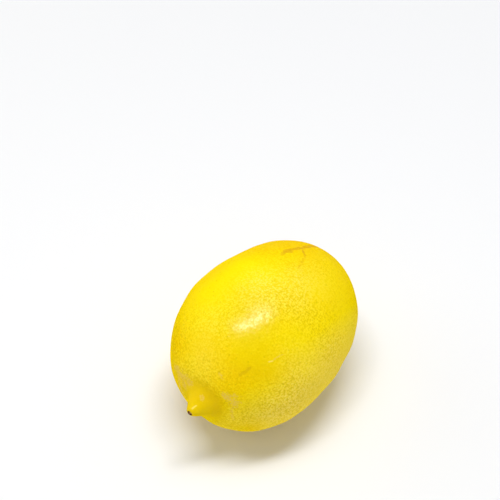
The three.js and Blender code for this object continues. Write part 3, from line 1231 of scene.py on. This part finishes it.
# %% Scar finish
CHAR = (0.05, 0.014, 0.004)
RUSSET = (0.68, 0.38, 0.13)
UMBER = (0.26, 0.09, 0.02)
SKIN_EDGE = (0.55, 0.34, 0.02)
SCAR_SPECK = 0.22
SCAR_SPECK_RISE = (0.42, 0.62)
CHAR_RISE = (0.15, 0.6)
EDGE_RISE = (0.9, 1.0)
SCAR_ROUGH = 0.75
SPECK_ROUGH = 0.15
SCAR_BUMP = 0.03

scar_paint, bench, place = begin("dry_scar")
speckle = bench.noise(place, SCAR_SPECK, detail=3, rough=0.7)
dry = bench.blend(RUSSET, UMBER, speckle.rise(*SCAR_SPECK_RISE))
dry = bench.blend(dry, CHAR, bench.number("rim").rise(*CHAR_RISE))
dry = bench.blend(dry, SKIN_EDGE, bench.number("edge").rise(*EDGE_RISE))
scar_rough = SCAR_ROUGH + speckle * SPECK_ROUGH
scar_sockets = {"Base Color": dry, "Roughness": scar_rough, "Specular IOR Level": 0.1}
close(scar_paint, bench, scar_sockets, speckle * SCAR_BUMP, scar.data)

# %% [markdown]
# The button is olive that turns brown towards the tips of its lobes and between its fibres,
# with ashy clouds, and the cut through the stalk is straw-coloured. The fibres are real
# relief in the mesh, so the finish only darkens the hollows between them.

# %% Button finish
SAGE = (0.205, 0.185, 0.030)
BARK = (0.17, 0.085, 0.018)
ASH = (0.36, 0.27, 0.09)
STRAW = (0.55, 0.36, 0.14)
CLOUD_SIZE = 1.6
CLOUD_RISE = (0.4, 0.7)
TIP_CLOUD = 0.9
TIP_RISE = (0.95, 1.55)
HOLLOW_RISE = (-0.2, 1.6)
HOLLOW_COVER = 0.5
BUTTON_SPECK = 0.3
STRAW_SPECK_RISE = (0.45, 0.7)
CUT_RISE = (0.85, 0.98)
BUTTON_ROUGH = 0.72
FIBRE_ROUGH = 0.2
CLOUD_BUMP = 0.16
SPECK_BUMP = 0.08

button_paint, bench, place = begin("dry_button")
cloud = bench.noise(place, CLOUD_SIZE, detail=4, rough=0.6)
speckle = bench.noise(place, BUTTON_SPECK, detail=3, rough=0.7)
tips = (bench.number("lip") + cloud * TIP_CLOUD).rise(*TIP_RISE)
hollows = (0 - bench.number("fibre")).rise(*HOLLOW_RISE)
wood = bench.blend(SAGE, ASH, cloud.rise(*CLOUD_RISE))
wood = bench.blend(wood, BARK, tips)
wood = bench.blend(wood, BARK, hollows * HOLLOW_COVER)
cut_face = bench.blend(STRAW, BARK, speckle.rise(*STRAW_SPECK_RISE))
wood = bench.blend(wood, cut_face, bench.number("stalk").rise(*CUT_RISE))
button_rough = BUTTON_ROUGH + speckle * FIBRE_ROUGH
button_sockets = {"Base Color": wood, "Roughness": button_rough, "Specular IOR Level": 0.15}
button_height = cloud * CLOUD_BUMP + speckle * SPECK_BUMP
close(button_paint, bench, button_sockets, button_height, button.data)

# %% [markdown]
# The lemon lies on a large plain pale floor. It is matt, with no reflection of its own, and
# only very slightly uneven. Seen flat from the side, a floor darkens with distance. A curved
# backdrop would hide that from one side only. Here the floor glows faintly by itself, far
# away from the lemon, which keeps it pale from all sides.

# %% Floor
FLOOR_SIZE = 12.0
FLOOR_TONE = (0.92, 0.925, 0.94)
FLOOR_GLOW = (0.45, 0.455, 0.46)
GLOW_FROM_MM = 120
GLOW_FULL_MM = 900
SHADE_SIZE = 60
SHADE = 0.01
FLOOR_ROUGH = 0.7

floor_mesh = bpy.data.meshes.new("floor")
half = FLOOR_SIZE / 2
corners = [(-half, -half, 0), (half, -half, 0), (half, half, 0), (-half, half, 0)]
floor_mesh.from_pydata(corners, [], [(0, 1, 2, 3)])
floor = put("floor", floor_mesh)
floor_paint, bench, place = begin("floor")
shade = bench.noise(place, SHADE_SIZE) * SHADE
away = bench.add("ShaderNodeVectorMath", {"operation": "LENGTH"}, {0: place}, 1)
floor_sockets = {
    "Base Color": FLOOR_TONE,
    "Roughness": FLOOR_ROUGH + shade,
    "Specular IOR Level": 0.0,
    "Emission Color": bench.blend((0, 0, 0), FLOOR_GLOW, away.rise(GLOW_FROM_MM, GLOW_FULL_MM)),
    "Emission Strength": 1.0,
}
close(floor_paint, bench, floor_sockets, shade, floor_mesh)
print("floor, m:", FLOOR_SIZE, "across")

# %% [markdown]
# Soft white light comes from a sky all around, brighter near the horizon than overhead. The
# sky is kept out of reflections, which would turn the peel grey.

# %% Sky
SKY_TINT = (0.98, 0.99, 1.0)
SKY_TOP = 0.25
SKY_RIM = 0.75
SKY_CLIMB = (0.15, 0.8)

world = bpy.data.worlds.new("studio")
world.use_nodes = True
world.node_tree.nodes.clear()
bench = Wire(world.node_tree)
sight = bench.add("ShaderNodeTexCoord", None, None, "Generated")
climb = bench.add("ShaderNodeSeparateXYZ", None, {"Vector": sight}, "Z").rise(*SKY_CLIMB)
strength = SKY_RIM + (SKY_TOP - SKY_RIM) * climb
sky = bench.add("ShaderNodeBackground", None, {"Color": SKY_TINT, "Strength": strength})
bench.add("ShaderNodeOutputWorld", None, {"Surface": sky})
bpy.context.scene.world = world
world.cycles_visibility.glossy = False
print("sky strength:", SKY_RIM, "low and", SKY_TOP, "overhead")

# %% [markdown]
# Two softboxes hang overhead. A long narrow one gives the lemon its one bright reflection,
# and a wider, weaker one, the veil, softens its ends. A third, low and to the camera's
# left, stands for warm light that bounces back from around the fruit.

# %% Lamps
LAMPS_AWAY = 0.75
LAMPS_ALONG = Vector((0.58, 0.81, 0.0))
SOFTBOX_TOWARDS = Vector((0.03, -0.05, 1.0)).normalized()
SOFTBOX_SIZE = (0.52, 0.11)
SOFTBOX_WATTS = 2.77
VEIL_TOWARDS = Vector((-0.03, 0.07, 1.0)).normalized()
VEIL_SIZE = (0.66, 0.24)
VEIL_BEHIND = 0.02
VEIL_WATTS = 1.85
BOUNCE_FROM = Vector((-0.62, -0.28, 0.38))
BOUNCE_ALONG = Vector((0.4, -0.8, 0))
BOUNCE_SIZE = (0.7, 0.5)
BOUNCE_WATTS = 0.6
BOUNCE_TINT = (1.0, 0.95, 0.78)
WHITE = (1, 1, 1)

middle = Vector(body_middle * MM)


def aim(thing, place, across, upward, back):
    """Stands a lamp or camera at a place, with its own X, Y and Z in these directions."""
    turn = Matrix((across, upward, back)).transposed()
    thing.matrix_world = Matrix.Translation(place) @ turn.to_4x4()


def softbox(name, place, size, watts, along, tint=WHITE):
    """A rectangle of light that faces the middle of the fruit."""
    light = bpy.data.lights.new(name, "AREA")
    light.shape = "RECTANGLE"
    light.size, light.size_y = size
    light.energy = watts
    light.color = tint
    back = (place - middle).normalized()
    across = (along - along.dot(back) * back).normalized()
    aim(put(name, light), place, across, back.cross(across), back)
    print(name, "lamp,", watts, "watts")


overhead = middle + SOFTBOX_TOWARDS * LAMPS_AWAY
softbox("overhead", overhead, SOFTBOX_SIZE, SOFTBOX_WATTS, LAMPS_ALONG)
veil = middle + VEIL_TOWARDS * (LAMPS_AWAY + VEIL_BEHIND)
softbox("veil", veil, VEIL_SIZE, VEIL_WATTS, LAMPS_ALONG)
softbox("bounce", middle + BOUNCE_FROM, BOUNCE_SIZE, BOUNCE_WATTS, BOUNCE_ALONG, BOUNCE_TINT)

# %% [markdown]
# The camera looks down on the nipple's side from the right. It is set by where the middle
# of the body shows in a frame of 500 by 500 pixels.

# %% Camera
AZIMUTH = math.radians(35.8)
ELEVATION = math.radians(46.4)
LENS_MM = 85.0
SENSOR_MM = 36.0
AWAY = 0.430
FRAME_PIXELS = 500
BODY_AT = (263.9, 335.6)

right = Vector((math.cos(AZIMUTH), math.sin(AZIMUTH), 0))
level_back = Vector((math.sin(AZIMUTH), -math.cos(AZIMUTH), 0))
back = level_back * math.cos(ELEVATION) + Vector((0, 0, math.sin(ELEVATION)))
up = back.cross(right)
pixel = SENSOR_MM / LENS_MM * AWAY / FRAME_PIXELS
shift_right = (BODY_AT[0] - FRAME_PIXELS / 2) * pixel
shift_down = (BODY_AT[1] - FRAME_PIXELS / 2) * pixel

camera = put("camera", bpy.data.cameras.new("camera"))
camera.data.lens = LENS_MM
camera.data.sensor_width = SENSOR_MM
eye = middle + back * AWAY - right * shift_right + up * shift_down
aim(camera, eye, right, up, back)
bpy.context.scene.camera = camera
bpy.context.scene.view_settings.view_transform = "Standard"
print("one pixel is", round(pixel / MM, 4), "mm at the middle of the body")
